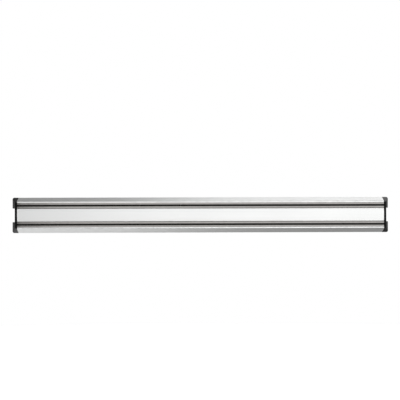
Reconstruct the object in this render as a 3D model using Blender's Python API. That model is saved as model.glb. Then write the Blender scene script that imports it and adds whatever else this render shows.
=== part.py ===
"""Magnetic knife rack for a kitchen wall.

An aluminium rail holds two rows of block magnets. Each row sits in a groove between two steel
pole strips, and the blade of a knife bridges their front edges. Plastic caps close the ends.
Two plastic clips, screwed to the wall, ride in a channel at the back of the rail.

Metres. X runs along the rack, Z is up, the wall is the plane y = 0 and the front faces -Y.
"""

import math

import bmesh
import bpy
from mathutils import Matrix, Vector

# Overall sizes
RACK_LENGTH = 0.500  # over the flared ends of the two caps, at the wall
RAIL_HEIGHT = 0.047  # at the wall
FRONT_HEIGHT = 0.0358  # across the front, before the flanges slope out to the wall
RACK_DEPTH = 0.017  # from the wall to the front edges of the pole strips

# Rail extrusion
RAIL_WALL = 0.0015
STRIP_PROUD = 0.0005  # how far the pole strips stand in front of the aluminium
GROOVE_HEIGHT = 0.007
FLOOR_GAP = 0.003  # from the wall to the back of the groove floors
GROOVE_OFFSET = 0.0125  # from the middle of the rail to the middle of a groove
FOOT_HEIGHT = 0.004  # flat foot of each flange, against the wall
HOOK_GAP = 0.0015  # from the wall to the hooks of the rear channel
MOUTH_HEIGHT = 0.010  # opening between the two hooks
PANEL_CROWN = 0.0004  # how much the centre panel bulges forward
PANEL_STEPS = 14
PANEL_ROUND = 0.0010
LIP_ROUND = 0.0008
SMALL_ROUND = 0.0003
ROUND_STEPS = 5

# Pole strips and magnets
STRIP_THICKNESS = 0.00225
FIT_GAP = 0.00005  # glue line between a strip, a magnet and the groove
END_GAP = 0.0002
MAGNET_RECESS = 0.0010  # magnets sit this far behind the front edges of the strips
MAGNETS_PER_ROW = 9
MAGNET_SPACING = 0.0004  # gap between two neighbouring magnets
STRIP_CHAMFER = 0.00015

# End caps
CAP_WALL = 0.003  # thickness at the front edge and across the middle
CAP_FLARE = 0.005  # how far the two lugs lean out from front to wall
NOTCH_HEIGHT = 0.018  # gap between the two lugs
CAP_CORNER = 0.0024
CAP_EDGE = 0.0007
CAP_CORE = 0.0015  # wall left round the hollow at the back of each lug
CORE_SHARE = 0.65  # how much of the cap's depth that hollow takes
CAP_FIT = 0.0003  # clearance round the tongues
SIDE_TONGUE = 0.012
CENTRE_TONGUE = 0.008
TONGUE_WALL = 0.0012

# Wall clips
CLIP_LENGTH = 0.040
CLIP_PLACE = 0.170  # from the middle of the rack to the middle of a clip
CLIP_FIT = 0.0003
CLIP_PLATE_HEIGHT = 0.024
CLIP_HEAD_THICKNESS = 0.003
CLIP_ROUND = 0.0004

# Wood screws, 4 mm by 30 mm
SCREW_LENGTH = 0.030
SCREW_SHANK = 0.0040
SCREW_HEAD = 0.0078
SCREW_POINT = 0.0050
SCREW_RIM = 0.0003
SCREW_SINK = 0.0002  # how far the head sits below the face of the clip
RECESS_WIDTH = 0.0010
RECESS_SPAN = 0.0044
RECESS_DEPTH = 0.0018
HOLE_DIAMETER = 0.0045
SINK_GAP = 0.0001
TURN_STEPS = 48

# Worked out from the sizes above
RAIL_FRONT = RACK_DEPTH - STRIP_PROUD
RAIL_LENGTH = RACK_LENGTH - 2 * (CAP_FLARE + CAP_WALL)
SLOPE = (RAIL_HEIGHT - FRONT_HEIGHT) / 2 / RAIL_FRONT
FLANGE_RISE = RAIL_WALL * math.hypot(1, SLOPE)  # flange wall measured straight up
GROOVE_LOW = GROOVE_OFFSET - GROOVE_HEIGHT / 2
GROOVE_HIGH = GROOVE_OFFSET + GROOVE_HEIGHT / 2
FLOOR_FRONT = FLOOR_GAP + RAIL_WALL
GROOVE_DEPTH = RAIL_FRONT - FLOOR_FRONT
MAGNET_THICKNESS = GROOVE_HEIGHT - 2 * STRIP_THICKNESS - 4 * FIT_GAP
CHANNEL_HALF = GROOVE_LOW - RAIL_WALL
STRIP_LENGTH = RAIL_LENGTH - 2 * END_GAP


def flange_outside(depth):
    """Height of the sloping outside of a flange, this far in front of the wall."""
    return RAIL_HEIGHT / 2 - SLOPE * depth


def flange_inside(depth):
    """Height of the inside of a flange, this far in front of the wall."""
    return flange_outside(depth) - FLANGE_RISE


def material(name, colour, metallic, roughness):
    made = bpy.data.materials.new(name)
    made.use_nodes = True
    shader = made.node_tree.nodes["Principled BSDF"]
    shader.inputs["Base Color"].default_value = (*colour, 1)
    shader.inputs["Metallic"].default_value = metallic
    shader.inputs["Roughness"].default_value = roughness
    made.diffuse_color = (*colour, 1)
    return made


def finish(name, bm, colour, metallic, roughness, smooth=False, place=(0, 0, 0)):
    """Turn the working mesh into a named object with a material of its own."""
    bmesh.ops.recalc_face_normals(bm, faces=bm.faces)
    for face in bm.faces:
        face.smooth = smooth
    mesh = bpy.data.meshes.new(name)
    bm.to_mesh(mesh)
    bm.free()
    made = bpy.data.objects.new(name, mesh)
    made.location = place
    made.data.materials.append(material(name, colour, metallic, roughness))
    bpy.context.scene.collection.objects.link(made)
    return made


def cutter(name, bm, place=(0, 0, 0)):
    """A helper solid for a Boolean, kept out of the render."""
    bmesh.ops.recalc_face_normals(bm, faces=bm.faces)
    mesh = bpy.data.meshes.new(name)
    bm.to_mesh(mesh)
    bm.free()
    made = bpy.data.objects.new(name, mesh)
    made.location = place
    made.hide_render = True
    made.display_type = "WIRE"
    bpy.context.scene.collection.objects.link(made)
    return made


def combine(target, helper, operation):
    step = target.modifiers.new(helper.name, "BOOLEAN")
    step.operation = operation
    step.solver = "EXACT"
    step.object = helper


def rounded(corners):
    """Replace each corner (depth, height, radius) of an outline by an arc that touches both sides."""
    points = []
    for i, (depth, height, radius) in enumerate(corners):
        here = Vector((depth, height))
        before = Vector(corners[i - 1][:2]) - here
        after = Vector(corners[(i + 1) % len(corners)][:2]) - here
        if radius <= 0:
            points.append(here)
            continue
        before.normalize()
        after.normalize()
        half = before.angle(after) / 2
        reach = radius / math.tan(half)
        centre = here + (before + after).normalized() * (radius / math.sin(half))
        start = here + before * reach - centre
        end = here + after * reach - centre
        sweep = start.angle_signed(end)
        for k in range(ROUND_STEPS + 1):
            turn = Matrix.Rotation(-sweep * k / ROUND_STEPS, 2)
            points.append(centre + turn @ start)
    return points


def extruded(outline, length):
    """Carry an outline of (depth in front of the wall, height) along X, centred on x = 0."""
    bm = bmesh.new()
    near = [bm.verts.new((-length / 2, -depth, height)) for depth, height in outline]
    face = bm.faces.new(near)
    swept = bmesh.ops.extrude_face_region(bm, geom=[face])
    moved = [v for v in swept["geom"] if isinstance(v, bmesh.types.BMVert)]
    bmesh.ops.translate(bm, verts=moved, vec=(length, 0, 0))
    return bm


def box(bm, low, high):
    """Add a closed block between two corners to the working mesh."""
    size = Vector(high) - Vector(low)
    middle = (Vector(high) + Vector(low)) / 2
    shape = Matrix.Translation(middle) @ Matrix.Diagonal((*size, 1))
    return bmesh.ops.create_cube(bm, size=1, matrix=shape)["verts"]


def turned(profile):
    """Spin a profile of (radius, y) about the Y axis into a closed solid."""
    bm = bmesh.new()
    line = [bm.verts.new((radius, y, 0)) for radius, y in profile]
    edges = [bm.edges.new(pair) for pair in zip(line, line[1:])]
    bmesh.ops.spin(
        bm,
        geom=line + edges,
        cent=(0, 0, 0),
        axis=(0, 1, 0),
        angle=2 * math.pi,
        steps=TURN_STEPS,
        use_merge=True,
    )
    bmesh.ops.remove_doubles(bm, verts=bm.verts, dist=1e-6)
    return bm


def mirrored_outline(upper):
    """The upper half of a section, from the front middle round to the back middle, both ways up."""
    lower = [(depth, -height, radius) for depth, height, radius in reversed(upper)]
    return rounded(upper + lower)


def rail_outline():
    """The rail's section, with the centre panel bulging forward as a shallow parabola."""
    chamber_front = (flange_inside(0) - GROOVE_HIGH - RAIL_WALL) / SLOPE
    points = mirrored_outline(
        [
            (RAIL_FRONT, GROOVE_LOW, PANEL_ROUND),
            (FLOOR_FRONT, GROOVE_LOW, 0),
            (FLOOR_FRONT, GROOVE_HIGH, 0),
            (RAIL_FRONT, GROOVE_HIGH, SMALL_ROUND),
            (RAIL_FRONT, flange_outside(RAIL_FRONT), LIP_ROUND),
            (0, RAIL_HEIGHT / 2, SMALL_ROUND),
            (0, RAIL_HEIGHT / 2 - FOOT_HEIGHT, SMALL_ROUND),
            (RAIL_WALL, RAIL_HEIGHT / 2 - FOOT_HEIGHT, SMALL_ROUND),
            (RAIL_WALL, flange_inside(RAIL_WALL), SMALL_ROUND),
            (chamber_front, GROOVE_HIGH + RAIL_WALL, 0),
            (FLOOR_GAP, GROOVE_HIGH + RAIL_WALL, SMALL_ROUND),
            (FLOOR_GAP, GROOVE_LOW, 0),
            (HOOK_GAP, GROOVE_LOW, SMALL_ROUND),
            (HOOK_GAP, MOUTH_HEIGHT / 2, SMALL_ROUND),
            (HOOK_GAP + RAIL_WALL, MOUTH_HEIGHT / 2, SMALL_ROUND),
            (HOOK_GAP + RAIL_WALL, CHANNEL_HALF, SMALL_ROUND),
            (RAIL_FRONT - RAIL_WALL, CHANNEL_HALF, SMALL_ROUND),
        ]
    )
    edge = GROOVE_LOW - PANEL_ROUND
    for k in range(1, PANEL_STEPS):
        points.append(Vector((RAIL_FRONT, edge * (2 * k / PANEL_STEPS - 1))))
    for point in points:
        if point.x > RAIL_FRONT - PANEL_ROUND and abs(point.y) < GROOVE_LOW:
            point.x += PANEL_CROWN * (1 - (point.y / GROOVE_LOW) ** 2)
    return points


def build_rail():
    bm = extruded(rail_outline(), RAIL_LENGTH)
    finish("rail_extrusion", bm, (0.82, 0.83, 0.83), 1.0, 0.28)


def build_strips():
    """Two steel strips in each groove, one against each side."""
    depth = GROOVE_DEPTH - FIT_GAP + STRIP_PROUD
    reach = GROOVE_HEIGHT / 2 - FIT_GAP - STRIP_THICKNESS / 2
    middle = -(RACK_DEPTH - depth / 2)
    for row, side in (("upper", 1), ("lower", -1)):
        for place, step in (("top", 1), ("bottom", -1)):
            height = side * GROOVE_OFFSET + step * reach
            bm = bmesh.new()
            half = (STRIP_LENGTH / 2, depth / 2, STRIP_THICKNESS / 2)
            box(bm, [-h for h in half], half)
            bmesh.ops.bevel(
                bm, geom=bm.edges[:], offset=STRIP_CHAMFER, segments=1, affect="EDGES"
            )
            name = f"{row}_pole_{place}"
            finish(name, bm, (0.62, 0.61, 0.59), 1.0, 0.12, place=(0, middle, height))


def build_magnets():
    """Block magnets in a row between the two strips of each groove."""
    gaps = (MAGNETS_PER_ROW - 1) * MAGNET_SPACING
    length = (STRIP_LENGTH - gaps) / MAGNETS_PER_ROW
    depth = GROOVE_DEPTH - FIT_GAP + STRIP_PROUD - MAGNET_RECESS
    middle = -(RACK_DEPTH - MAGNET_RECESS - depth / 2)
    for row, side in (("upper", 1), ("lower", -1)):
        for n in range(MAGNETS_PER_ROW):
            along = (n - (MAGNETS_PER_ROW - 1) / 2) * (length + MAGNET_SPACING)
            bm = bmesh.new()
            half = (length / 2, depth / 2, MAGNET_THICKNESS / 2)
            box(bm, [-h for h in half], half)
            bmesh.ops.bevel(
                bm, geom=bm.edges[:], offset=STRIP_CHAMFER, segments=1, affect="EDGES"
            )
            place = (along, middle, side * GROOVE_OFFSET)
            finish(
                f"{row}_magnet_{n + 1}", bm, (0.03, 0.03, 0.032), 0.0, 0.7, place=place
            )


def cap_shell(side):
    """Wall of a cap: flat inside, leaning out from front to wall, with the rail's outline."""
    inside = 0
    bm = bmesh.new()
    rings = []
    for depth, outside in ((RACK_DEPTH, CAP_WALL), (0, CAP_WALL + CAP_FLARE)):
        high = flange_outside(depth)
        ring = [(inside, -high), (outside, -high), (outside, high), (inside, high)]
        rings.append([bm.verts.new((side * x, -depth, z)) for x, z in ring])
    front, back = rings
    bm.faces.new(front)
    bm.faces.new(reversed(back))
    for i in range(4):
        j = (i + 1) % 4
        bm.faces.new((front[i], back[i], back[j], front[j]))
    bmesh.ops.recalc_face_normals(bm, faces=bm.faces)

    def ends(edge):
        return [(v in front, abs(v.co.x) > CAP_WALL / 2) for v in edge.verts]

    corner = [e for e in bm.edges if sorted(ends(e)) == [(False, True), (True, True)]]
    bmesh.ops.bevel(
        bm, geom=corner, offset=CAP_CORNER, segments=4, profile=0.5, affect="EDGES"
    )
    rim = [
        e
        for e in bm.edges
        if all(abs(v.co.y + RACK_DEPTH) < 1e-6 for v in e.verts)
        and any(abs(v.co.x) > 1e-6 for v in e.verts)
    ]
    bmesh.ops.bevel(
        bm, geom=rim, offset=CAP_EDGE, segments=3, profile=0.5, affect="EDGES"
    )
    return bm


def cap_tongues(side):
    """Ribs that push into the side chambers and the rear channel of the rail."""
    bm = bmesh.new()
    root = CAP_WALL / 2
    tip = FLOOR_GAP + GROOVE_DEPTH / 2
    low = GROOVE_HIGH + RAIL_WALL + CAP_FIT
    near = RAIL_WALL + CAP_FIT
    for way in (1, -1):
        outline = (
            (near, low),
            (near, flange_inside(near) - CAP_FIT),
            (tip, flange_inside(tip) - CAP_FIT),
            (tip, low),
        )
        verts = [bm.verts.new((side * root, -depth, way * z)) for depth, z in outline]
        swept = bmesh.ops.extrude_face_region(bm, geom=[bm.faces.new(verts)])
        moved = [v for v in swept["geom"] if isinstance(v, bmesh.types.BMVert)]
        bmesh.ops.translate(
            bm, verts=moved, vec=(-side * (root + SIDE_TONGUE), 0, 0)
        )
        top = CHANNEL_HALF - CAP_FIT
        ends = sorted((side * root, -side * CENTRE_TONGUE))
        heights = sorted((way * top, way * (top - TONGUE_WALL)))
        box(
            bm,
            (ends[0], -(RAIL_FRONT - RAIL_WALL - CAP_FIT), heights[0]),
            (ends[1], -(HOOK_GAP + RAIL_WALL + CAP_FIT), heights[1]),
        )
    return bm


def cap_hollows(side):
    """Tapered hollows, open towards the wall, that keep the lugs thin-walled."""
    bm = bmesh.new()
    for way in (1, -1):
        rings = []
        for depth in (-CAP_CORE, CORE_SHARE * RACK_DEPTH):
            lean = CAP_FLARE * (1 - depth / RACK_DEPTH)
            low = NOTCH_HEIGHT / 2 + CAP_CORE
            high = flange_outside(depth) - CAP_CORE
            near = CAP_CORE
            far = CAP_WALL + lean - CAP_CORE
            ring = [(near, low), (far, low), (far, high), (near, high)]
            rings.append([bm.verts.new((side * x, -depth, way * z)) for x, z in ring])
        mouth, floor = rings
        bm.faces.new(mouth)
        bm.faces.new(reversed(floor))
        for i in range(4):
            j = (i + 1) % 4
            bm.faces.new((mouth[i], floor[i], floor[j], mouth[j]))
    return bm


def build_caps():
    for name, side in (("left", -1), ("right", 1)):
        place = (side * RAIL_LENGTH / 2, 0, 0)
        cap = finish(
            f"end_cap_{name}", cap_shell(side), (0.012, 0.012, 0.013), 0.0, 0.35, place=place
        )
        tongues = cutter(f"cap_tongues_{name}", cap_tongues(side), place)
        combine(cap, tongues, "UNION")
        bm = bmesh.new()
        ends = sorted((side * CAP_WALL, side * (CAP_WALL + 2 * CAP_FLARE)))
        reach = RACK_DEPTH * 0.2
        box(
            bm,
            (ends[0], -RACK_DEPTH - reach, -NOTCH_HEIGHT / 2),
            (ends[1], reach, NOTCH_HEIGHT / 2),
        )
        notch = cutter(f"cap_notch_{name}", bm, place)
        combine(cap, notch, "DIFFERENCE")
        hollows = cutter(f"cap_hollows_{name}", cap_hollows(side), place)
        combine(cap, hollows, "DIFFERENCE")


def clip_outline():
    """Section of a wall clip: plate on the wall, neck through the mouth, head in the channel."""
    plate = HOOK_GAP - CLIP_FIT
    neck = MOUTH_HEIGHT / 2 - CLIP_FIT
    shoulder = HOOK_GAP + RAIL_WALL + CLIP_FIT
    head = CHANNEL_HALF - CLIP_FIT
    return mirrored_outline(
        [
            (shoulder + CLIP_HEAD_THICKNESS, head, CLIP_ROUND),
            (shoulder, head, CLIP_ROUND),
            (shoulder, neck, 0),
            (plate, neck, 0),
            (plate, CLIP_PLATE_HEIGHT / 2, CLIP_ROUND),
            (0, CLIP_PLATE_HEIGHT / 2, 0),
        ]
    )


def cross_recess(top):
    """Cross-shaped tapering plug that leaves the driver recess in a screw head."""
    arm = RECESS_SPAN / 2
    half = RECESS_WIDTH / 2
    quarter = ((arm, half), (half, half), (half, arm))
    outline = []
    for turn in range(4):
        x_side, z_side = ((1, 1), (-1, 1), (-1, -1), (1, -1))[turn]
        points = quarter if turn % 2 == 0 else quarter[::-1]
        outline += [(x_side * x, z_side * z) for x, z in points]
    bm = bmesh.new()
    floor = [bm.verts.new((x * 0.5, top + RECESS_DEPTH, z * 0.5)) for x, z in outline]
    mouth = [bm.verts.new((x * 1.5, top - RECESS_DEPTH, z * 1.5)) for x, z in outline]
    bm.faces.new(floor)
    bm.faces.new(reversed(mouth))
    for i in range(len(outline)):
        j = (i + 1) % len(outline)
        bm.faces.new((floor[i], mouth[i], mouth[j], floor[j]))
    return bm


def build_clips():
    face = HOOK_GAP + RAIL_WALL + CLIP_FIT + CLIP_HEAD_THICKNESS
    sink = (SCREW_HEAD - SCREW_SHANK) / 2
    past = RACK_DEPTH * 0.2
    for name, side in (("left", -1), ("right", 1)):
        place = (side * CLIP_PLACE, 0, 0)
        clip = finish(
            f"wall_clip_{name}",
            extruded(clip_outline(), CLIP_LENGTH),
            (0.025, 0.025, 0.027),
            0.0,
            0.55,
            place=place,
        )
        rim = SCREW_HEAD / 2 + SINK_GAP + SCREW_SINK
        hole = HOLE_DIAMETER / 2
        profile = (
            (0, -face - past),
            (rim, -face - past),
            (rim, -face + SCREW_RIM),
            (hole, -face + SCREW_RIM + rim - hole),
            (hole, past),
            (0, past),
        )
        drill = cutter(f"clip_hole_{name}", turned(profile), place)
        combine(clip, drill, "DIFFERENCE")

        top = -face + SCREW_SINK
        end = top + SCREW_LENGTH
        shank = SCREW_SHANK / 2
        profile = (
            (0, top),
            (SCREW_HEAD / 2, top),
            (SCREW_HEAD / 2, top + SCREW_RIM),
            (shank, top + SCREW_RIM + sink),
            (shank, end - SCREW_POINT),
            (0, end),
        )
        screw = finish(
            f"wall_screw_{name}",
            turned(profile),
            (0.55, 0.54, 0.5),
            1.0,
            0.3,
            smooth=True,
            place=place,
        )
        bm = cross_recess(top)
        driver = cutter(f"screw_recess_{name}", bm, place)
        combine(screw, driver, "DIFFERENCE")


for old in list(bpy.data.objects):
    bpy.data.objects.remove(old)
build_rail()
build_strips()
build_magnets()
build_caps()
build_clips()
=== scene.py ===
"""Finish for a wall-hung magnetic knife rack.

Each piece is a surface worked out from the rack's sizes: sections carried along the rack, blocks
with rounded rims, and screws turned about their axis. Metres, X along the rack, the wall at y = 0.
"""

import math

import bpy
import numpy as np
from bpy.props import FloatProperty, FloatVectorProperty, IntProperty, PointerProperty
from bpy.types import Operator, Panel, PropertyGroup
from mathutils import Matrix, Vector


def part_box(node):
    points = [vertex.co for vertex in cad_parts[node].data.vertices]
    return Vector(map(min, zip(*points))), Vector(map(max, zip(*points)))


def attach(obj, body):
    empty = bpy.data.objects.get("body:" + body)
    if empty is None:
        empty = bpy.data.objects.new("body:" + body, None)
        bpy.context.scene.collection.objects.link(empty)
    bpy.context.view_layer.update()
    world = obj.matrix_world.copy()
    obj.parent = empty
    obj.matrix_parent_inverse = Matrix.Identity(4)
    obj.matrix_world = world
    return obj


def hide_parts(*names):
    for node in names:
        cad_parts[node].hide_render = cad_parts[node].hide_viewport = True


bl_info = {
    "name": "Magnetic knife rack",
    "version": (1, 0, 0),
    "blender": (4, 5, 0),
    "location": "3D View > Sidebar > Knife Rack",
    "description": "Builds the finished pieces of a magnetic knife rack",
    "category": "Object",
}

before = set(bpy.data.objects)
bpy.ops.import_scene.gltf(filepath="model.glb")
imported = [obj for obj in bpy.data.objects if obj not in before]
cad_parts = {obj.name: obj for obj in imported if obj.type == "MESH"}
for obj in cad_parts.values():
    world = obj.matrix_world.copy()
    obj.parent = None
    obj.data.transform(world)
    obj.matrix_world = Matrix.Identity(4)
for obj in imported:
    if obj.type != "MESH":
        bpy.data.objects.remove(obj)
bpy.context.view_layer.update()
RAIL_LOW, RAIL_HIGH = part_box("rail_extrusion")
SIDES = (("left", -1), ("right", 1))
ROWS = (("upper", 1), ("lower", -1))

# Small steps and shares that the pieces below are drawn with
HAIR = 0.0001  # step beside an edge that keeps the flat next to it shaded flat
AXIS_RADIUS = 0.00001  # closes a turned surface at its axis
MAGNET_ROUND = 0.0003
CORE_SHARE = 0.65  # how much of a cap's depth its hollows take
TONGUE_TIP = 0.0003  # length over which a tongue narrows at its end
END_HIGHLIGHT = 0.0024  # length at each end of the rail that is painted paler, a painted highlight beside each cap

# Cross recess of the screws
RECESS_HALF_WIDTH = 0.0005
RECESS_TAPER = 0.16
RECESS_REACH = 0.0021
RECESS_DEPTH = 0.0018
RECESS_FLOOR = 0.0026  # radius at which the sloping floor of the recess would reach the face

# Screw thread
CORE_RATIO = 0.66  # root of the thread, as a share of the shank
NECK_RATIO = 0.8  # smooth neck under the head, as a share of the shank
ROOT_SHARE = 0.45  # share of each turn that is flat root, the rest being ridge
THREAD_START = 0.0035  # from the head to where the thread begins
THREAD_FADE = 0.002  # length over which it rises to its full height


def length(name, description, default):
    return FloatProperty(
        name=name,
        description=description,
        default=default,
        min=0,
        unit="LENGTH",
        subtype="DISTANCE",
        precision=5,
    )


def colour(name, description, default):
    return FloatVectorProperty(
        name=name,
        description=description,
        default=default,
        min=0,
        max=1,
        size=3,
        subtype="COLOR",
    )


def share(name, description, default):
    return FloatProperty(
        name=name, description=description, default=default, min=0, max=1, subtype="FACTOR"
    )


class RackSizes(PropertyGroup):
    """Sizes of the rack and of its parts."""

    rail_length: length(
        "Rail length", "Length of the aluminium rail", float(RAIL_HIGH[0] - RAIL_LOW[0])
    )
    rail_height: length("Rail height", "Height at the wall", 0.047)
    front_height: length("Front height", "Height across the front", 0.0358)
    rack_depth: length("Rack depth", "From the wall to the strips' front edges", 0.017)
    strip_proud: length("Strip step", "How far the strips stand before the rail", 0.0005)
    wall: length("Rail wall", "Wall thickness of the extrusion", 0.0015)
    groove_height: length("Groove height", "Height of a groove", 0.007)
    groove_offset: length("Groove offset", "Rail middle to groove middle", 0.0125)
    floor_gap: length("Floor gap", "From the wall to the groove floors", 0.003)
    foot_height: length("Foot height", "Flat foot of a flange", 0.004)
    hook_gap: length("Hook gap", "From the wall to the channel hooks", 0.0015)
    mouth_height: length("Mouth height", "Opening between the hooks", 0.010)
    panel_crown: length("Panel crown", "Forward bulge of the centre panel", 0.0004)
    panel_round: length("Panel round", "Radius along the centre panel", 0.0010)
    lip_round: length("Lip round", "Radius along the outer lips", 0.0008)
    small_round: length("Small round", "Radius of the other corners", 0.0003)
    strip_thickness: length("Strip thickness", "Thickness of a pole strip", 0.00225)
    strip_round: length("Strip round", "Radius along the strips", 0.00012)
    strip_lean: FloatProperty(
        name="Strip lean",
        description="Slope of the strips' front faces away from each other",
        default=0.05,
        min=0,
        max=0.2,
    )
    fit_gap: length("Glue line", "Gap round the strips and magnets", 0.00005)
    end_gap: length("End gap", "Gap between a strip and a cap", 0.0002)
    magnet_recess: length("Magnet recess", "Magnets behind the strip edges", 0.0010)
    magnet_spacing: length("Magnet spacing", "Gap between two magnets", 0.0004)
    magnets_per_row: IntProperty(
        name="Magnets per row", description="Magnets in one groove", default=9, min=1
    )
    cap_wall: length("Cap wall", "Thickness of a cap at the front", 0.003)
    cap_flare: length("Cap flare", "Lean of the lugs from front to wall", 0.005)
    cap_corner: length("Cap corner", "Radius of the lugs' outer corners", 0.0024)
    cap_edge: length("Cap edge", "Radius of the caps' front edges", 0.0007)
    cap_core: length("Cap core wall", "Wall left round the hollows", 0.0015)
    notch_height: length("Notch height", "Gap between the two lugs", 0.018)
    fit: length("Running fit", "Clearance of tongues and clips", 0.0003)
    side_tongue: length("Side tongue", "Length of the side tongues", 0.012)
    centre_tongue: length("Centre tongue", "Length of the middle tongues", 0.008)
    tongue_wall: length("Tongue wall", "Thickness of the middle tongues", 0.0012)
    clip_length: length("Clip length", "Length of a wall clip", 0.040)
    clip_place: length("Clip place", "Rack middle to clip middle", 0.170)
    clip_height: length("Clip height", "Height of a clip's wall plate", 0.024)
    clip_head: length("Clip head", "Thickness of a clip's head", 0.003)
    clip_round: length("Clip round", "Radius of the clip's corners", 0.0004)
    screw_length: length("Screw length", "Overall length", 0.030)
    screw_shank: length("Screw shank", "Diameter over the thread", 0.0040)
    screw_head: length("Screw head", "Diameter of the head", 0.0078)
    screw_point: length("Screw point", "Length of the point", 0.0050)
    screw_rim: length("Screw rim", "Straight rim of the head", 0.0003)
    screw_sink: length("Screw sink", "Head below the face of the clip", 0.0002)
    thread_pitch: length("Thread pitch", "Distance between two turns", 0.0018)
    hole_diameter: length("Hole", "Diameter of the clip's hole", 0.0045)


class RackColours(PropertyGroup):
    """Colours and finishes of the rack."""

    aluminium: colour("Aluminium", "Satin anodised rail", (0.88, 0.885, 0.88))
    aluminium_rough: share("Aluminium roughness", "Satin of the rail", 0.38)
    steel: colour("Steel", "Ground pole strips", (0.30, 0.29, 0.28))
    steel_rough: share("Steel roughness", "Polish of the strips", 0.12)
    ferrite: colour("Ferrite", "Sintered magnet blocks", (0.008, 0.0077, 0.0073))
    cap: colour("Cap plastic", "Moulded end caps", (0.0012, 0.0012, 0.0013))
    cap_rough: share("Cap roughness", "Sheen of the caps", 0.22)
    clip: colour("Clip plastic", "Moulded wall clips", (0.028, 0.028, 0.030))
    screw: colour("Screw", "Zinc-plated wood screws", (0.70, 0.67, 0.58))
    floor: colour("Floor", "Pale studio floor", (0.92, 0.92, 0.92))
    room: colour("Room", "Studio background", (1.0, 1.0, 1.0))


# Shapes -----------------------------------------------------------------------------------------


def filleted(corners, steps=7):
    """Outline with rounded corners, all corners at once.

    Each corner (across, up, radius) gives way to an arc that touches both of its sides: the
    centre lies on the bisector at radius / sin(half angle), and the arc runs from one touching
    point to the other in equal turns. A point on each side next to the arc keeps the flats flat
    under smooth shading.
    """
    corners = np.asarray(corners, float)
    here, radius = corners[:, :2], np.maximum(corners[:, 2:], 4e-5)
    before = np.roll(here, 1, 0) - here
    after = np.roll(here, -1, 0) - here
    run_before = np.linalg.norm(before, axis=1, keepdims=True)
    run_after = np.linalg.norm(after, axis=1, keepdims=True)
    before, after = before / run_before, after / run_after
    cosine = np.clip((before * after).sum(1, keepdims=True), -1, 1)
    half = np.arccos(cosine) / 2
    bisector = before + after
    bisector /= np.linalg.norm(bisector, axis=1, keepdims=True)
    centre = here + bisector * radius / np.sin(half)
    reach = radius / np.tan(half)
    start = here + before * reach - centre
    end = here + after * reach - centre
    first = np.arctan2(start[:, 1], start[:, 0])
    sweep = np.arctan2(end[:, 1], end[:, 0]) - first
    sweep = (sweep + np.pi) % (2 * np.pi) - np.pi
    turn = first[:, None] + sweep[:, None] * np.linspace(0, 1, steps)[None]
    arc = np.stack([np.cos(turn), np.sin(turn)], -1) * radius[:, None]
    next_reach, last_reach = np.roll(reach, -1, 0), np.roll(reach, 1, 0)
    lead = np.clip((run_before - reach - last_reach) * 0.3, 1e-6, radius * 0.3)
    tail = np.clip((run_after - reach - next_reach) * 0.3, 1e-6, radius * 0.3)
    lead_in = here + before * (reach + lead)
    run_out = here + after * (reach + tail)
    arc = centre[:, None] + arc
    return np.concatenate([lead_in[:, None], arc, run_out[:, None]], 1).reshape(-1, 2)


def both_halves(upper):
    """Upper half of a section and its mirror image below, as one run of corners."""
    upper = np.asarray(upper, float)
    lower = upper[::-1] * (1, -1, 1)
    return np.concatenate([upper, lower])


def ring_faces(rings, around, start=0):
    """Quads between neighbouring rings of a grid, each ring closed on itself."""
    i = np.arange(rings - 1)[:, None] * around
    j = np.arange(around)[None]
    k = (j + 1) % around
    quads = np.stack([i + j, i + k, i + around + k, i + around + j], -1)
    return (quads.reshape(-1, 4) + start).tolist()


def signed_volume(points, faces):
    """Volume of a closed shell, negative if its faces point inwards."""
    total = 0.0
    by_size = {}
    for face in faces:
        by_size.setdefault(len(face), []).append(face)
    for size, group in by_size.items():
        group = np.array(group)
        first = points[group[:, 0]]
        for k in range(1, size - 1):
            a, b = points[group[:, k]], points[group[:, k + 1]]
            total += (first * np.cross(a, b)).sum() / 6
    return total


def shell(grid):
    """Closed shell from a grid of rings (rings, around, 3): quads between them, a face at each end."""
    rings, around = grid.shape[:2]
    points = grid.reshape(-1, 3)
    faces = ring_faces(rings, around)
    faces.append(list(range(around))[::-1])
    faces.append(list(range((rings - 1) * around, rings * around)))
    if signed_volume(points, faces) < 0:
        faces = [face[::-1] for face in faces]
    return points, faces


def joined(shells):
    """Several closed shells as one list of points and faces."""
    points, faces, count = [], [], 0
    for some, theirs in shells:
        points.append(some)
        faces += [[v + count for v in face] for face in theirs]
        count += len(some)
    return np.concatenate(points), faces


def to_mesh(name, points, faces, wear_and_highlight=None):
    mesh = bpy.data.meshes.new(name)
    mesh.from_pydata(points.tolist(), [], faces)
    if wear_and_highlight is not None:
        layer = mesh.attributes.new("wear_and_highlight", "FLOAT", "POINT")
        layer.data.foreach_set("value", np.ascontiguousarray(wear_and_highlight, dtype=np.float32))
    mesh.validate()
    made = bpy.data.objects.new(name, mesh)
    bpy.context.scene.collection.objects.link(made)
    return made


def cut_or_join(target, steps):
    """Apply a row of exact Booleans, then drop the helper solids."""
    for helper, operation in steps:
        boolean = target.modifiers.new(helper.name, "BOOLEAN")
        boolean.solver = "EXACT"
        boolean.operation = operation
        boolean.object = helper
    ready = target.evaluated_get(bpy.context.evaluated_depsgraph_get())
    mesh = bpy.data.meshes.new_from_object(ready)
    if not len(mesh.polygons):
        raise RuntimeError(f"{target.name}: a cut or join left nothing")
    old = target.data
    target.modifiers.clear()
    target.data = mesh
    mesh.name = old.name
    bpy.data.meshes.remove(old)
    for helper, _ in steps:
        bpy.data.objects.remove(helper)


def dress(piece, body, node, material, crease=28):
    """Smooth the piece between creases, give it its finish and let it ride on its body."""
    piece.data.materials.clear()
    piece.data.materials.append(material)
    piece.data.set_sharp_from_angle(angle=math.radians(crease))
    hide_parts(node)
    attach(piece, body)


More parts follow.
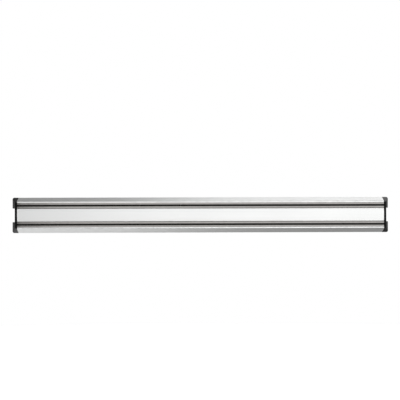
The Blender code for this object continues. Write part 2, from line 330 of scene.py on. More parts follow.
def along_rack(outline, stations, place=(0, 0, 0)):
    """Carry an outline of (depth, height) along X: point (x, -depth, height) at every station."""
    stations = np.asarray(stations, float)
    grid = np.empty((len(stations), len(outline), 3))
    grid[..., 0] = stations[:, None]
    grid[..., 1] = -outline[None, :, 0]
    grid[..., 2] = outline[None, :, 1]
    return grid + np.asarray(place)


def rounded_bar(half, radius, stations, lean=0.0, corner_steps=6, end_steps=5):
    """Bar with every edge rounded.

    The section is a rectangle with arcs at its corners. Near each end it draws in by
    radius * (1 - sin t) while the station moves out by radius * (1 - cos t), a quarter circle.
    A lean tips the front edge: depth grows by lean * height on the front half.
    """
    half = np.asarray(half, float)
    quarter = np.linspace(0, np.pi / 2, end_steps)
    out = np.concatenate([-radius * np.sin(quarter[::-1]), radius * np.sin(quarter)])
    inset = radius * (1 - np.cos(np.concatenate([quarter[::-1], quarter])))
    middle = np.asarray(stations, float)[1:-1]
    end = half[0] - radius
    x = np.concatenate([-end + out[:end_steps], middle, end + out[end_steps:]])
    draw = np.concatenate([inset[:end_steps], np.zeros(len(middle)), inset[end_steps:]])
    box = [(half[1], half[2]), (half[1], -half[2]), (-half[1], -half[2]), (-half[1], half[2])]
    outline = filleted([(d, h, radius) for d, h in box], corner_steps)
    scale = 1 - draw[:, None, None] / half[None, None, 1:]
    section = outline[None] * scale
    section[..., 0] += lean * section[..., 1] * (section[..., 0] > 0)
    grid = np.empty((*section.shape[:2], 3))
    grid[..., 0] = x[:, None]
    grid[..., 1] = -section[..., 0]
    grid[..., 2] = section[..., 1]
    return grid


# Sizes worked out from the panel's sizes ---------------------------------------------------------


def slope(s):
    return (s.rail_height - s.front_height) / 2 / (s.rack_depth - s.strip_proud)


def outside(s, depth):
    """Height of a flange's sloping outside, this far in front of the wall."""
    return s.rail_height / 2 - slope(s) * depth


def inside(s, depth):
    return outside(s, depth) - s.wall * math.hypot(1, slope(s))


def rail_section(s):
    """Half of the rail's section from the edge of the centre panel round to the rear channel."""
    front = s.rack_depth - s.strip_proud
    low = s.groove_offset - s.groove_height / 2
    high = s.groove_offset + s.groove_height / 2
    floor = s.floor_gap + s.wall
    chamber = (inside(s, 0) - high - s.wall) / slope(s)
    small = s.small_round
    top = s.rail_height / 2
    mouth = s.mouth_height / 2
    return [
        (front, low, s.panel_round),
        (floor, low, small / 2),
        (floor, high, small / 2),
        (front, high, small),
        (front, outside(s, front), s.lip_round),
        (0, top, small),
        (0, top - s.foot_height, small),
        (s.wall, top - s.foot_height, small),
        (s.wall, inside(s, s.wall), small),
        (chamber, high + s.wall, 0),
        (s.floor_gap, high + s.wall, small),
        (s.floor_gap, low, small / 2),
        (s.hook_gap, low, small),
        (s.hook_gap, mouth, small),
        (s.hook_gap + s.wall, mouth, small),
        (s.hook_gap + s.wall, low - s.wall, small),
        (front - s.wall, low - s.wall, small),
    ]


# Node trees --------------------------------------------------------------------------------------


def add(tree, kind, **settings):
    made = tree.nodes.new(kind)
    for key, value in settings.items():
        setattr(made, key, value)
    return made


def feed(tree, socket, value):
    if isinstance(value, bpy.types.NodeSocket):
        tree.links.new(value, socket)
    elif value is not None:
        socket.default_value = value


def calc(tree, operation, *values, clamp=False):
    """One Math node, its inputs fed in order."""
    made = add(tree, "ShaderNodeMath", operation=operation, use_clamp=clamp)
    for socket, value in zip(made.inputs, values):
        feed(tree, socket, value)
    return made.outputs[0]


def spread(tree, value, low, high, to_low=0.0, to_high=1.0):
    """Smooth step of a value from one range to another."""
    made = add(tree, "ShaderNodeMapRange", interpolation_type="SMOOTHSTEP")
    feed(tree, made.inputs["Value"], value)
    made.inputs["From Min"].default_value = low
    made.inputs["From Max"].default_value = high
    made.inputs["To Min"].default_value = to_low
    made.inputs["To Max"].default_value = to_high
    return made.outputs["Result"]


def blended(tree, factor, first, second):
    made = add(tree, "ShaderNodeMix", data_type="RGBA")
    feed(tree, made.inputs["Factor"], factor)
    feed(tree, made.inputs["A"], first)
    feed(tree, made.inputs["B"], second)
    return made.outputs["Result"]


def new_group(name, inputs, outputs):
    """Empty shader node group with named inputs (name, default) and outputs."""
    tree = bpy.data.node_groups.new(name, "ShaderNodeTree")
    for title, default in inputs:
        kind = "NodeSocketFloat" if np.isscalar(default) else "NodeSocketVector"
        socket = tree.interface.new_socket(title, in_out="INPUT", socket_type=kind)
        socket.default_value = default
    for title in outputs:
        tree.interface.new_socket(title, in_out="OUTPUT", socket_type="NodeSocketFloat")
    return tree, tree.nodes.new("NodeGroupInput"), tree.nodes.new("NodeGroupOutput")


def streaks_group():
    """Long fine lines: noise squeezed across the rack and drawn out along it.

    Lines is the fine pattern, Bands a broader and softer one, both from 0 to 1.
    """
    tree, given, out = new_group(
        "streaks",
        [("Across", 2500.0), ("Along", 6.0), ("Breakup", 0.5)],
        ["Lines", "Bands"],
    )
    where = add(tree, "ShaderNodeTexCoord").outputs["Object"]
    parts = add(tree, "ShaderNodeSeparateXYZ")
    feed(tree, parts.inputs[0], where)
    x = calc(tree, "MULTIPLY", parts.outputs["X"], given.outputs["Along"])
    y = calc(tree, "MULTIPLY", parts.outputs["Y"], given.outputs["Across"])
    z = calc(tree, "MULTIPLY", parts.outputs["Z"], given.outputs["Across"])
    for title, shrink, detail in (("Lines", 1.0, 3.0), ("Bands", 0.12, 2.0)):
        spot = add(tree, "ShaderNodeCombineXYZ")
        feed(tree, spot.inputs["X"], calc(tree, "MULTIPLY", x, 0.4 + 0.6 * shrink))
        feed(tree, spot.inputs["Y"], calc(tree, "MULTIPLY", y, shrink))
        feed(tree, spot.inputs["Z"], calc(tree, "MULTIPLY", z, shrink))
        noise = add(tree, "ShaderNodeTexNoise")
        noise.inputs["Scale"].default_value = 1.0
        noise.inputs["Detail"].default_value = detail
        feed(tree, noise.inputs["Vector"], spot.outputs[0])
        feed(tree, noise.inputs["Roughness"], given.outputs["Breakup"])
        feed(tree, out.inputs[title], noise.outputs["Fac"])
    return tree


def grain_group():
    """Fine even grain, as of cast or spark-eroded skin: Grain from 0 to 1 and soft Blotches."""
    tree, given, out = new_group(
        "grain", [("Size", 9000.0), ("Blotch Size", 90.0)], ["Grain", "Blotches"]
    )
    where = add(tree, "ShaderNodeTexCoord").outputs["Object"]
    for title, size, detail in (("Grain", "Size", 2.0), ("Blotches", "Blotch Size", 3.0)):
        noise = add(tree, "ShaderNodeTexNoise")
        noise.inputs["Detail"].default_value = detail
        feed(tree, noise.inputs["Vector"], where)
        feed(tree, noise.inputs["Scale"], given.outputs[size])
        feed(tree, out.inputs[title], noise.outputs["Fac"])
    return tree


def wear_and_highlight_group():
    """Rubbed edges and painted highlights: the piece's own layer, broken up by noise. It holds rubbed
    edges, and painted highlights at the rail's ends and along the caps' front edges.
    """
    tree, given, out = new_group("edge_wear_and_highlight", [("Amount", 1.0), ("Patch Size", 160.0)], ["Mask"])
    layer = add(tree, "ShaderNodeAttribute", attribute_name="wear_and_highlight")
    noise = add(tree, "ShaderNodeTexNoise")
    noise.inputs["Detail"].default_value = 4.0
    feed(tree, noise.inputs["Vector"], add(tree, "ShaderNodeTexCoord").outputs["Object"])
    feed(tree, noise.inputs["Scale"], given.outputs["Patch Size"])
    patchy = spread(tree, noise.outputs["Fac"], 0.35, 0.65)
    mask = calc(tree, "MULTIPLY", layer.outputs["Fac"], patchy)
    feed(tree, out.inputs["Mask"], calc(tree, "MULTIPLY", mask, given.outputs["Amount"], clamp=True))
    return tree


def shared(name, make):
    """A node group, built the first time it is asked for."""
    return bpy.data.node_groups.get(name) or make()


def placed(tree, name, make, **values):
    made = add(tree, "ShaderNodeGroup", node_tree=shared(name, make))
    for key, value in values.items():
        feed(tree, made.inputs[key.replace("_", " ").title()], value)
    return made.outputs


def finish(name, metallic, **plain):
    """New material; returns it with its tree and its shader."""
    material = bpy.data.materials.new(name)
    material.use_nodes = True
    tree = material.node_tree
    shader = tree.nodes["Principled BSDF"]
    shader.inputs["Metallic"].default_value = metallic
    for key, value in plain.items():
        shader.inputs[key.replace("_", " ")].default_value = value
    return material, tree, shader


def raised(tree, shader, height, distance):
    """Bump from a height of 0 to 1 that stands this many metres tall."""
    bump = add(tree, "ShaderNodeBump")
    bump.inputs["Strength"].default_value = 1.0
    bump.inputs["Distance"].default_value = distance
    feed(tree, bump.inputs["Height"], height)
    feed(tree, shader.inputs["Normal"], bump.outputs["Normal"])


def tone(rgb, factor):
    return (*[min(1.0, c * factor) for c in rgb], 1.0)


def anodised_aluminium(c):
    """Satin anodised extrusion: faint die lines along the rack, paler rubbed edges, and a paler band at
    each end of the rail that is a painted highlight.
    """
    material, tree, shader = finish("anodised_aluminium", 1.0)
    lines = placed(tree, "streaks", streaks_group, across=2600.0, along=5.0)
    wear_and_highlight = placed(tree, "edge_wear_and_highlight", wear_and_highlight_group, amount=0.7)
    cloud = placed(tree, "grain", grain_group, size=7000.0, blotch_size=14.0)
    base = blended(tree, lines["Bands"], tone(c.aluminium, 0.965), tone(c.aluminium, 1.03))
    # Paler where the layer is set: rubbed edges, and the painted highlight at each end of the rail
    base = blended(tree, wear_and_highlight["Mask"], base, tone(c.aluminium, 1.1))
    feed(tree, shader.inputs["Base Color"], base)
    rough = calc(tree, "MULTIPLY_ADD", lines["Lines"], 0.10, c.aluminium_rough - 0.05)
    rough = calc(tree, "MULTIPLY_ADD", cloud["Blotches"], 0.06, calc(tree, "SUBTRACT", rough, 0.03))
    rough = calc(tree, "MULTIPLY_ADD", wear_and_highlight["Mask"], -0.08, rough)
    feed(tree, shader.inputs["Roughness"], rough)
    height = calc(tree, "MULTIPLY_ADD", cloud["Grain"], 0.35, lines["Lines"])
    raised(tree, shader, height, 2.5e-6)
    return material


def ground_steel(c):
    """Ground and polished mild steel: long grinding lines, slow ripples, a few rub marks."""
    material, tree, shader = finish("ground_steel", 1.0)
    lines = placed(tree, "streaks", streaks_group, across=3200.0, along=14.0, breakup=0.6)
    ripples = placed(tree, "grain", grain_group, size=900.0, blotch_size=55.0)
    wear_and_highlight = placed(tree, "edge_wear_and_highlight", wear_and_highlight_group, amount=0.6, patch_size=240.0)
    base = blended(tree, lines["Bands"], tone(c.steel, 0.93), tone(c.steel, 1.05))
    base = blended(tree, wear_and_highlight["Mask"], base, tone(c.steel, 1.18))
    feed(tree, shader.inputs["Base Color"], base)
    rough = calc(tree, "MULTIPLY_ADD", lines["Lines"], 0.10, c.steel_rough - 0.05)
    rough = calc(tree, "MULTIPLY_ADD", ripples["Blotches"], 0.05, rough)
    feed(tree, shader.inputs["Roughness"], rough)
    height = calc(tree, "MULTIPLY_ADD", ripples["Blotches"], 8.0, lines["Lines"])
    raised(tree, shader, height, 0.7e-6)
    return material


def sintered_ferrite(c):
    """Dry grey-black ferrite with a fine pressed grain."""
    material, tree, shader = finish("sintered_ferrite", 0.0, Specular_IOR_Level=0.06)
    grain = placed(tree, "grain", grain_group, size=5200.0, blotch_size=220.0)
    wear_and_highlight = placed(tree, "edge_wear_and_highlight", wear_and_highlight_group, amount=0.5, patch_size=420.0)
    base = blended(tree, grain["Blotches"], tone(c.ferrite, 0.7), tone(c.ferrite, 1.5))
    base = blended(tree, wear_and_highlight["Mask"], base, tone(c.ferrite, 2.6))
    feed(tree, shader.inputs["Base Color"], base)
    rough = calc(tree, "MULTIPLY_ADD", grain["Grain"], 0.2, 0.62)
    feed(tree, shader.inputs["Roughness"], rough)
    raised(tree, shader, grain["Grain"], 3.0e-5)
    return material


def moulded_plastic(name, rgb, rough, depth):
    """Moulded black plastic: fine eroded skin, soft sheen that drifts a little, and a grey painted
    highlight where the layer is set (the caps' front edges).
    """
    material, tree, shader = finish(name, 0.0, Specular_IOR_Level=0.10)
    grain = placed(tree, "grain", grain_group, size=6500.0, blotch_size=130.0)
    wear_and_highlight = placed(tree, "edge_wear_and_highlight", wear_and_highlight_group, amount=0.4, patch_size=900.0)
    base = blended(tree, grain["Blotches"], tone(rgb, 0.8), tone(rgb, 1.25))
    # Grey where the layer is set: on the caps a painted highlight along the lugs' front edges
    base = blended(tree, wear_and_highlight["Mask"], base, (0.035, 0.035, 0.035, 1.0))
    feed(tree, shader.inputs["Base Color"], base)
    sheen = calc(tree, "MULTIPLY_ADD", grain["Blotches"], 0.14, rough - 0.07)
    sheen = calc(tree, "MULTIPLY_ADD", grain["Grain"], 0.06, sheen)
    feed(tree, shader.inputs["Roughness"], calc(tree, "MULTIPLY_ADD", wear_and_highlight["Mask"], -0.08, sheen))
    raised(tree, shader, grain["Grain"], depth)
    return material


def plated_screw(c):
    """Zinc plating with a slight yellow cast, duller in the hollows of the thread."""
    material, tree, shader = finish("plated_screw", 1.0)
    grain = placed(tree, "grain", grain_group, size=3000.0, blotch_size=420.0)
    wear_and_highlight = placed(tree, "edge_wear_and_highlight", wear_and_highlight_group, amount=1.0, patch_size=500.0)
    dull = (c.screw[0] * 0.55, c.screw[1] * 0.5, c.screw[2] * 0.42, 1.0)
    base = blended(tree, grain["Blotches"], dull, (*c.screw, 1.0))
    base = blended(tree, wear_and_highlight["Mask"], base, tone(c.screw, 1.25))
    feed(tree, shader.inputs["Base Color"], base)
    rough = calc(tree, "MULTIPLY_ADD", grain["Grain"], 0.25, 0.2)
    feed(tree, shader.inputs["Roughness"], rough)
    raised(tree, shader, grain["Grain"], 6.0e-6)
    return material


# Pieces ------------------------------------------------------------------------------------------


def sizes():
    return bpy.context.scene.rack_sizes


def colours():
    return bpy.context.scene.rack_colours


class KNIFERACK_OT_rail(Operator):
    """Aluminium rail: one section carried along the rack"""

    bl_idname = "kniferack.rail"
    bl_label = "Rail"

    def execute(self, context):
        s = sizes()
        outline = filleted(both_halves(rail_section(s)))
        low = s.groove_offset - s.groove_height / 2
        front = s.rack_depth - s.strip_proud
        panel = np.linspace(-1, 1, 19)[1:-1] * (low - s.panel_round)
        panel = np.stack([np.full(len(panel), front), panel], -1)
        outline = np.concatenate([outline, panel])
        forward = (outline[:, 0] > front - s.panel_round) & (abs(outline[:, 1]) < low)
        crown = s.panel_crown * (1 - (outline[:, 1] / low) ** 2)
        outline[:, 0] += np.where(forward, crown, 0)
        end = s.rail_length / 2
        near = end - np.array([0, END_HIGHLIGHT / 2, END_HIGHLIGHT])
        stations = np.concatenate([-near, np.linspace(-0.98 * end, 0.98 * end, 39), near[::-1]])
        grid = along_rack(outline, stations)
        edge = np.abs(np.roll(outline, 1, 0) - outline).sum(1)
        edge = np.maximum(np.minimum(edge, np.roll(edge, -1)), 1e-9)
        wear_and_highlight = np.clip(0.0004 / edge - 0.6, 0, 1) * (outline[:, 0] > s.floor_gap + s.wall)
        # The band at each end is painted paler: a painted highlight beside each cap, stored in the same
        # layer as the rubbed edges
        end_highlight = np.clip((abs(stations) - near[2]) / (near[0] - near[2]), 0, 1)
        wear_and_highlight = np.maximum(wear_and_highlight[None], 1.6 * end_highlight[:, None] * (outline[:, 0] > s.floor_gap))
        points, faces = shell(grid)
        piece = to_mesh("rail", points, faces, wear_and_highlight.ravel())
        dress(piece, "rack", "rail_extrusion", anodised_aluminium(colours()))
        return {"FINISHED"}


class KNIFERACK_OT_poles(Operator):
    """Steel pole strips: rounded bars whose front edges lean a little away from each other"""

    bl_idname = "kniferack.poles"
    bl_label = "Pole strips"

    def execute(self, context):
        s = sizes()
        steel = ground_steel(colours())
        strip = s.rail_length - 2 * s.end_gap
        depth = s.rack_depth - s.floor_gap - s.wall - s.fit_gap
        middle = -(s.rack_depth - depth / 2)
        reach = s.groove_height / 2 - s.fit_gap - s.strip_thickness / 2
        stations = np.linspace(-strip / 2, strip / 2, 121)
        for row, side in ROWS:
            for place, step in (("top", 1), ("bottom", -1)):
                half = (strip / 2, depth / 2, s.strip_thickness / 2)
                grid = rounded_bar(half, s.strip_round, stations, lean=-s.strip_lean * step)
                ahead = grid[..., 1] < -depth / 4
                grid[..., 1] += np.where(ahead, s.strip_lean * half[2], 0)
                wear_and_highlight = np.where(ahead & (abs(grid[..., 2]) > half[2] * 0.86), 0.8, 0.0)
                grid += (0, middle, side * s.groove_offset + step * reach)
                points, faces = shell(grid)
                name = f"{row}_strip_{place}"
                piece = to_mesh(name, points, faces, wear_and_highlight.ravel())
                dress(piece, "rack", f"{row}_pole_{place}", steel)
        return {"FINISHED"}


class KNIFERACK_OT_magnets(Operator):
    """Magnet blocks: pressed bars with blunt edges, in two rows"""

    bl_idname = "kniferack.magnets"
    bl_label = "Magnets"

    def execute(self, context):
        s = sizes()
        ferrite = sintered_ferrite(colours())
        count = s.magnets_per_row
        strip = s.rail_length - 2 * s.end_gap
        block = (strip - (count - 1) * s.magnet_spacing) / count
        depth = s.rack_depth - s.magnet_recess - s.floor_gap - s.wall - s.fit_gap
        middle = -(s.rack_depth - s.magnet_recess - depth / 2)
        thick = s.groove_height - 2 * s.strip_thickness - 4 * s.fit_gap
        half = (block / 2, depth / 2, thick / 2)
        for row, side in ROWS:
            for n in range(count):
                grid = rounded_bar(half, MAGNET_ROUND, np.linspace(-block / 2, block / 2, 9))
                blunt = abs(grid[..., 1]) > depth / 2 - 0.0004
                along = (n - (count - 1) / 2) * (block + s.magnet_spacing)
                grid += (along, middle, side * s.groove_offset)
                points, faces = shell(grid)
                name = f"{row}_block_{n + 1}"
                piece = to_mesh(name, points, faces, blunt.ravel().astype(float))
                dress(piece, "rack", f"{row}_magnet_{n + 1}", ferrite)
        return {"FINISHED"}


def cap_shell(s, side):
    """Outer skin of an end cap, as a C-shaped outline carried from the front to the wall.

    At a given depth the outline reaches cap_wall + flare * (1 - depth / rack_depth) outwards and
    up to the flange's slope, with the notch between the lugs held at cap_wall. Near the front it
    draws in along a quarter circle, which rounds the front edge. The first outline lies on the
    flat front, drawn in by a hair on every side so that the flat is shaded flat.
    """
    quarter = np.linspace(0, np.pi / 2, 8)
    near = s.rack_depth - s.cap_edge + s.cap_edge * np.sin(quarter[::-1])
    bend = s.cap_edge * (1 - np.cos(quarter[::-1]))
    near = np.concatenate([near[:1], near, near[-1:] - HAIR])
    bend = np.concatenate([bend[:1] + HAIR, bend, [0]])
    depths = np.concatenate([near, np.linspace(near[-1], 0, 25)[1:]])
    inset = np.zeros(len(depths))
    inset[: len(near)] = bend
    hair = np.zeros(len(depths))
    hair[0] = HAIR
    rings = []
    for depth, draw, inner in zip(depths, inset, hair):
        out = s.cap_wall + s.cap_flare * (1 - depth / s.rack_depth) - draw
        high = outside(s, depth) - draw
        notch = s.notch_height / 2 + inner
        floor = min(s.cap_wall - draw, out - 0.00012)
        step = out - floor
        small = min(0.0008, step * 0.4)
        upper = [
            (floor, notch, min(0.0004, step * 0.4)),
            (out, notch, small),
            (out, high, s.cap_corner),
            (inner, high, 0.00008),
        ]
        rings.append(filleted(both_halves(upper), 8))
    outline = np.array(rings)
    grid = np.empty((*outline.shape[:2], 3))
    grid[..., 0] = side * (outline[..., 0] + s.rail_length / 2)
    grid[..., 1] = -depths[:, None]
    grid[..., 2] = outline[..., 1]
    return grid


def tapered(s, side, near, far):
    """Block between two rectangles (x low, x high, z low, z high) at two depths from the wall."""
    rings = []
    for depth, (x0, x1, z0, z1) in (near, far):
        ring = [(x0, z0), (x1, z0), (x1, z1), (x0, z1)]
        rings.append([(side * (x + s.rail_length / 2), -depth, z) for x, z in ring])
    return shell(np.array(rings))


def cap_hollows(s, side):
    """Hollows at the back of the two lugs, open towards the wall"""
    shells = []
    for way in (1, -1):
        ends = []
        for depth in (-s.cap_core, CORE_SHARE * s.rack_depth):
            out = s.cap_wall + s.cap_flare * (1 - depth / s.rack_depth) - s.cap_core
            low = way * (s.notch_height / 2 + s.cap_core)
            high = way * (outside(s, depth) - s.cap_core)
            ends.append((depth, (s.cap_core, out, min(low, high), max(low, high))))
        shells.append(tapered(s, side, *ends))
    return joined(shells)


def tongue_run(s, side, reach):
    """Places along the rack of a tongue's root inside the cap wall, its shoulder and its tip"""
    root = s.cap_wall / 2
    return side * (s.rail_length / 2 + np.array([root, -reach + TONGUE_TIP, -reach]))


def cap_tongues(s, side):
    """Ribs that push into the rail: wedges in the side chambers, flat ribs in the channel."""
    shells = []
    floor = s.floor_gap
    tip = floor + (s.rack_depth - s.strip_proud - floor - s.wall) / 2
    low = s.groove_offset + s.groove_height / 2 + s.wall + s.fit
    near = s.wall + s.fit
    top = s.groove_offset - s.groove_height / 2 - s.wall - s.fit
    for way in (1, -1):
        corners = [
            (near, low),
            (near, inside(s, near) - s.fit),
            (tip, inside(s, tip) - s.fit),
            (tip, low),
        ]
        outline = filleted([(d, way * h, 0.00012) for d, h in corners], 4)
        grid = along_rack(outline, tongue_run(s, side, s.side_tongue))
        centre = grid[-1].mean(0)
        grid[-1] = centre + (grid[-1] - centre) * 0.8
        shells.append(shell(grid))
        front = s.rack_depth - s.strip_proud - s.wall - s.fit
        back = s.hook_gap + s.wall + s.fit
        heights = (top, top - s.tongue_wall)
        corners = [(back, heights[0]), (front, heights[0]), (front, heights[1]), (back, heights[1])]
        outline = filleted([(d, way * h, 0.0002) for d, h in corners], 4)
        grid = along_rack(outline, tongue_run(s, side, s.centre_tongue))
        centre = grid[-1].mean(0)
        grid[-1] = centre + (grid[-1] - centre) * (1, 0.97, 0.7)
        shells.append(shell(grid))
    return joined(shells)


class KNIFERACK_OT_caps(Operator):
    """Plastic end caps: flared lugs, hollow behind, with ribs that push into the rail"""

    bl_idname = "kniferack.caps"
    bl_label = "End caps"

    def execute(self, context):
        s = sizes()
        c = colours()
        plastic = moulded_plastic("cap_plastic", c.cap, c.cap_rough, 4.0e-6)
        for name, side in SIDES:
            grid = cap_shell(s, side)
            # Painted highlight: a grey line along the rounded front edge of each lug, stored in the same
            # layer as rubbed edges
            bend = (-grid[..., 1] - s.rack_depth) / s.cap_edge + 1
            edge = np.clip(1.6 * np.sin(np.pi * np.clip(bend, 0, 1)), 0, 1)
            edge *= abs(grid[..., 0]) > s.rail_length / 2 + s.cap_wall / 2
            piece = to_mesh(f"cap_{name}", *shell(grid), edge.ravel())
            tongues, hollow = cap_tongues(s, side), cap_hollows(s, side)
            ribs = to_mesh(f"ribs_{name}", *tongues, np.zeros(len(tongues[0])))
            hollows = to_mesh(f"hollows_{name}", *hollow, np.zeros(len(hollow[0])))
            cut_or_join(piece, [(hollows, "DIFFERENCE"), (ribs, "UNION")])
            dress(piece, f"{name}_cap", f"end_cap_{name}", plastic, 32)
        return {"FINISHED"}


class KNIFERACK_OT_clips(Operator):
    """Wall clips: a T-shaped section with a countersunk hole"""

    bl_idname = "kniferack.clips"
    bl_label = "Wall clips"

    def execute(self, context):
        s = sizes()
        c = colours()
        plastic = moulded_plastic("clip_plastic", c.clip, 0.5, 8.0e-6)
        plate = s.hook_gap - s.fit
        neck = s.mouth_height / 2 - s.fit
        shoulder = s.hook_gap + s.wall + s.fit
        head = s.groove_offset - s.groove_height / 2 - s.wall - s.fit
        face = shoulder + s.clip_head
        upper = [
            (face, head, s.clip_round),
            (shoulder, head, s.clip_round),
            (shoulder, neck, 0.0002),
            (plate, neck, 0.0002),
            (plate, s.clip_height / 2, s.clip_round),
            (0, s.clip_height / 2, 0.0001),
        ]
        outline = filleted(both_halves(upper))
        stations = np.linspace(-s.clip_length / 2, s.clip_length / 2, 9)
        past = 0.2 * s.rack_depth
        rim = s.screw_head / 2 + 0.0001 + s.screw_sink
        hole = s.hole_diameter / 2
        run = [
            (1e-6, -face - past),
            (rim, -face - past),
            (rim, -face + s.screw_rim),
            (hole, -face + s.screw_rim + rim - hole),
            (hole, past),
            (1e-6, past),
        ]
        for name, side in SIDES:
            place = (side * s.clip_place, 0, 0)
            grid = along_rack(outline, stations, place)
            piece = to_mesh(f"clip_{name}", *shell(grid))
            drill = to_mesh(f"drill_{name}", *shell(turned(run, 72) + np.array(place)))
            cut_or_join(piece, [(drill, "DIFFERENCE")])
            dress(piece, f"{name}_clip", f"wall_clip_{name}", plastic)
        return {"FINISHED"}


def turned(run, around):
    """Turn a run of (radius, y) about the Y axis: (r cos t, y, r sin t) for t round the circle."""
    run = np.asarray(run, float)
    turn = np.arange(around) * 2 * np.pi / around
    grid = np.empty((len(run), around, 3))
    grid[..., 0] = run[:, :1] * np.cos(turn)
    grid[..., 1] = run[:, 1:]
    grid[..., 2] = run[:, :1] * np.sin(turn)
    return grid


class KNIFERACK_OT_screws(Operator):
    """Wood screws: turned head and point, wound thread, cross recess"""

    bl_idname = "kniferack.screws"
    bl_label = "Wall screws"

    def execute(self, context):
        s = sizes()
        plated = plated_screw(colours())
        face = s.hook_gap + s.wall + s.fit + s.clip_head
        top = -face + s.screw_sink
        around = 96
        turn = np.arange(around) * 2 * np.pi / around
        radius_head = s.screw_head / 2
        shank = s.screw_shank / 2
        core = shank * CORE_RATIO
        cone = radius_head - shank
        flat = np.linspace(AXIS_RADIUS, radius_head - HAIR, 30)
        rows = [(r, top) for r in flat]
        rows += [(radius_head, top + HAIR), (radius_head, top + s.screw_rim)]
        rows += [
            (radius_head - cone * t, top + s.screw_rim + cone * t)
            for t in np.linspace(0, 1, 9)[1:]
        ]
        start = rows[-1][1]
        end = top + s.screw_length
        rows = np.array(rows)
        smooth = np.broadcast_to(rows[:, None, 0], (len(rows), around)).copy()
        level = np.broadcast_to(rows[:, None, 1], (len(rows), around)).copy()
        a = smooth * np.cos(turn)
        b = smooth * np.sin(turn)
        arm = np.minimum(abs(a), abs(b)) < RECESS_HALF_WIDTH - RECESS_TAPER * smooth
        reach = np.maximum(abs(a), abs(b)) < RECESS_REACH
        sunk = (arm & reach & (np.arange(len(rows))[:, None] < len(flat))) * 1.0
        level += sunk * np.clip(RECESS_DEPTH * (1 - smooth / RECESS_FLOOR), 0, None)
        y = np.linspace(start, end, 260)[1:]
        wound = (y[:, None] - start) / s.thread_pitch - turn[None] / (2 * np.pi)
        ridge = 1 - abs((wound % 1) - 0.5) * 2
        ridge = np.clip((ridge - ROOT_SHARE) / (1 - ROOT_SHARE), 0, 1)
        fade = np.clip((y - start - THREAD_START) / THREAD_FADE, 0, 1)[:, None]
        point = np.clip((end - y) / s.screw_point, 0, 1)[:, None] ** 0.8
        plain = shank * NECK_RATIO + (core - shank * NECK_RATIO) * fade
        thread = (plain + (shank - plain) * ridge * fade) * point
        thread = np.maximum(thread, AXIS_RADIUS)
        neck = shank + (plain - shank) * np.clip((y - start) / 0.001, 0, 1)[:, None]
        thread = np.where(fade > 0, thread, neck)
        radius = np.concatenate([smooth, thread])
        depth = np.concatenate([level, np.broadcast_to(y[:, None], thread.shape)])
        grid = np.stack([radius * np.cos(turn), depth, radius * np.sin(turn)], -1)
        worn = np.concatenate([np.zeros_like(smooth), ridge * fade * np.ones_like(thread)])
        for name, side in SIDES:
            points, faces = shell(grid + (side * s.clip_place, 0, 0))
            piece = to_mesh(f"screw_{name}", points, faces, worn.ravel())
            dress(piece, f"{name}_clip", f"wall_screw_{name}", plated, 40)
        return {"FINISHED"}


# Studio ------------------------------------------------------------------------------------------


# Brightness of the room on the viewer's side and on the wall side of the rack, 1.0 being paper white
ROOM_FRONT = 0.60
ROOM_REAR = 0.32

# Soft boxes: place, the spot each one faces, width, height (metres) and brightness. The low one
# shines up through the floor, which casts no shadow.
SOFT_BOXES = {
    "front": ((0.5, -1.9, 0.1), (0.0, 0.0, 0.0), 2.0, 1.8, 0.80),
    "high_right": ((1.7, 2.4, 2.2), (0.0, 0.0, 0.0), 4.0, 2.8, 0.85),
    "low_left": ((-1.8, 2.4, -2.2), (0.0, 0.0, 0.0), 4.0, 2.8, 0.60),
}
TOP_BOX = ((0.0, 0.0, 2.4), (0.0, 0.0, 0.0), 3.4, 3.4, 6.6)  # lights the floor; metal does not reflect it

FLOOR_HEIGHT = -0.34
FLOOR_RINGS = (0.02, 0.6, 1.4, 2.4)  # radii
FLOOR_AROUND = 96

# Camera: a long lens, a little to the left of the rack's middle and level with it
CAMERA_PLACE = (-0.034, -1.607, -0.015)
CAMERA_SPOT = (-0.0014, -0.017, 0.0195)
CAMERA_LENS = 108.61
CAMERA_ROLL = math.radians(-0.16)


def soft_room(world, room):
    """Even pale room for straight views, and a dimmer one that lights the rack, darkest at the wall"""
    world.use_nodes = True
    tree = world.node_tree
    tree.nodes.clear()
    out = add(tree, "ShaderNodeOutputWorld")
    ray = add(tree, "ShaderNodeLightPath")
    parts = add(tree, "ShaderNodeSeparateXYZ")
    feed(tree, parts.inputs[0], add(tree, "ShaderNodeTexCoord").outputs["Generated"])
    even = add(tree, "ShaderNodeBackground")
    even.inputs["Color"].default_value = (*room, 1.0)
    soft = add(tree, "ShaderNodeBackground")
    level = spread(tree, parts.outputs["Y"], -0.4, 0.4, ROOM_FRONT, ROOM_REAR)
    feed(tree, soft.inputs["Strength"], level)
    mix = add(tree, "ShaderNodeMixShader")
    feed(tree, mix.inputs["Fac"], ray.outputs["Is Camera Ray"])
    tree.links.new(soft.outputs[0], mix.inputs[1])
    tree.links.new(even.outputs[0], mix.inputs[2])
    tree.links.new(mix.outputs[0], out.inputs["Surface"])


def aim(thing, spot, roll=0.0):
    """Turn a camera or lamp towards a spot, then roll it about its own line of sight."""
    towards = (Vector(spot) - thing.location).to_track_quat("-Z", "Y")
    thing.rotation_mode = "QUATERNION"
    thing.rotation_quaternion = towards @ Matrix.Rotation(roll, 3, "Z").to_quaternion()


def soft_box(name, place, spot, wide, tall, brightness):
    """Flat lamp of even brightness: its power is that brightness times pi times its area"""
    lamp = bpy.data.lights.new(name, "AREA")
    lamp.shape = "RECTANGLE"
    lamp.size = wide
    lamp.size_y = tall
    lamp.energy = brightness * math.pi * wide * tall
    made = bpy.data.objects.new(name, lamp)
    made.location = place
    made.visible_camera = False
    bpy.context.scene.collection.objects.link(made)
    aim(made, spot)
    return made


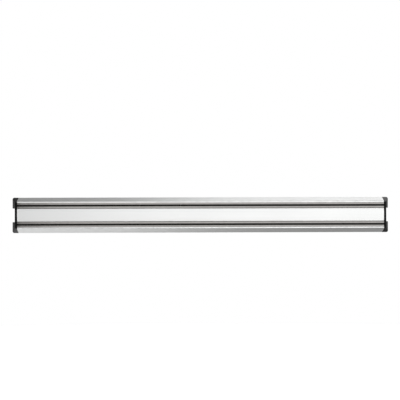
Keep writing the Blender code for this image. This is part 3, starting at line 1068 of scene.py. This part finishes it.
class KNIFERACK_OT_studio(Operator):
    """Pale floor, soft light and camera"""

    bl_idname = "kniferack.studio"
    bl_label = "Studio"

    def execute(self, context):
        c = colours()
        scene = context.scene
        scene.view_settings.view_transform = "Standard"
        world = bpy.data.worlds.new("studio")
        scene.world = world
        soft_room(world, c.room)

        turn = np.arange(FLOOR_AROUND) * 2 * np.pi / FLOOR_AROUND
        rings = np.array(FLOOR_RINGS)
        points = np.zeros((len(rings), FLOOR_AROUND, 3))
        points[..., 0] = rings[:, None] * np.cos(turn)
        points[..., 1] = rings[:, None] * np.sin(turn)
        points[..., 2] = FLOOR_HEIGHT
        faces = [face[::-1] for face in ring_faces(len(rings), FLOOR_AROUND)]
        faces.append(list(range(FLOOR_AROUND)))
        floor = to_mesh("floor", points.reshape(-1, 3), faces)
        paint, tree, shader = finish("pale_floor", 0.0, Roughness=0.9)
        grain = placed(tree, "grain", grain_group, size=400.0, blotch_size=6.0)
        base = blended(tree, grain["Blotches"], tone(c.floor, 0.985), (*c.floor, 1.0))
        feed(tree, shader.inputs["Base Color"], base)
        below = add(tree, "ShaderNodeNewGeometry").outputs["Backfacing"]
        mix = add(tree, "ShaderNodeMixShader")
        feed(tree, mix.inputs["Fac"], below)
        tree.links.new(shader.outputs[0], mix.inputs[1])
        tree.links.new(add(tree, "ShaderNodeBsdfTransparent").outputs[0], mix.inputs[2])
        tree.links.new(mix.outputs[0], tree.nodes["Material Output"].inputs["Surface"])
        floor.data.materials.append(paint)
        floor.visible_glossy = False
        floor.visible_shadow = False
        for name, box in SOFT_BOXES.items():
            soft_box(name, *box)
        soft_box("top", *TOP_BOX).visible_glossy = False

        camera = bpy.data.cameras.new("camera")
        camera.sensor_width = 36.0
        camera.lens = CAMERA_LENS
        camera.clip_end = 50.0
        eye = bpy.data.objects.new("camera", camera)
        eye.location = CAMERA_PLACE
        scene.collection.objects.link(eye)
        aim(eye, CAMERA_SPOT, CAMERA_ROLL)
        scene.camera = eye
        return {"FINISHED"}


class KNIFERACK_PT_panel(Panel):
    """Lists the pieces of the knife rack"""

    bl_label = "Knife Rack"
    bl_idname = "KNIFERACK_PT_panel"
    bl_space_type = "VIEW_3D"
    bl_region_type = "UI"
    bl_category = "Knife Rack"

    def draw(self, context):
        column = self.layout.column()
        for step in STEPS:
            column.operator(step.bl_idname)
        for group in (context.scene.rack_sizes, context.scene.rack_colours):
            box = self.layout.box()
            for name in group.__annotations__:
                box.prop(group, name)


STEPS = (
    KNIFERACK_OT_rail,
    KNIFERACK_OT_poles,
    KNIFERACK_OT_magnets,
    KNIFERACK_OT_caps,
    KNIFERACK_OT_clips,
    KNIFERACK_OT_screws,
    KNIFERACK_OT_studio,
)
CLASSES = (RackSizes, RackColours, *STEPS, KNIFERACK_PT_panel)


def register():
    for kind in CLASSES:
        bpy.utils.register_class(kind)
    bpy.types.Scene.rack_sizes = PointerProperty(type=RackSizes)
    bpy.types.Scene.rack_colours = PointerProperty(type=RackColours)


def unregister():
    del bpy.types.Scene.rack_colours
    del bpy.types.Scene.rack_sizes
    for kind in reversed(CLASSES):
        bpy.utils.unregister_class(kind)


def main():
    register()
    bpy.ops.kniferack.rail()
    bpy.ops.kniferack.poles()
    bpy.ops.kniferack.magnets()
    bpy.ops.kniferack.caps()
    bpy.ops.kniferack.clips()
    bpy.ops.kniferack.screws()
    bpy.ops.kniferack.studio()
    bpy.context.view_layer.update()


if __name__ == "__main__":
    main()
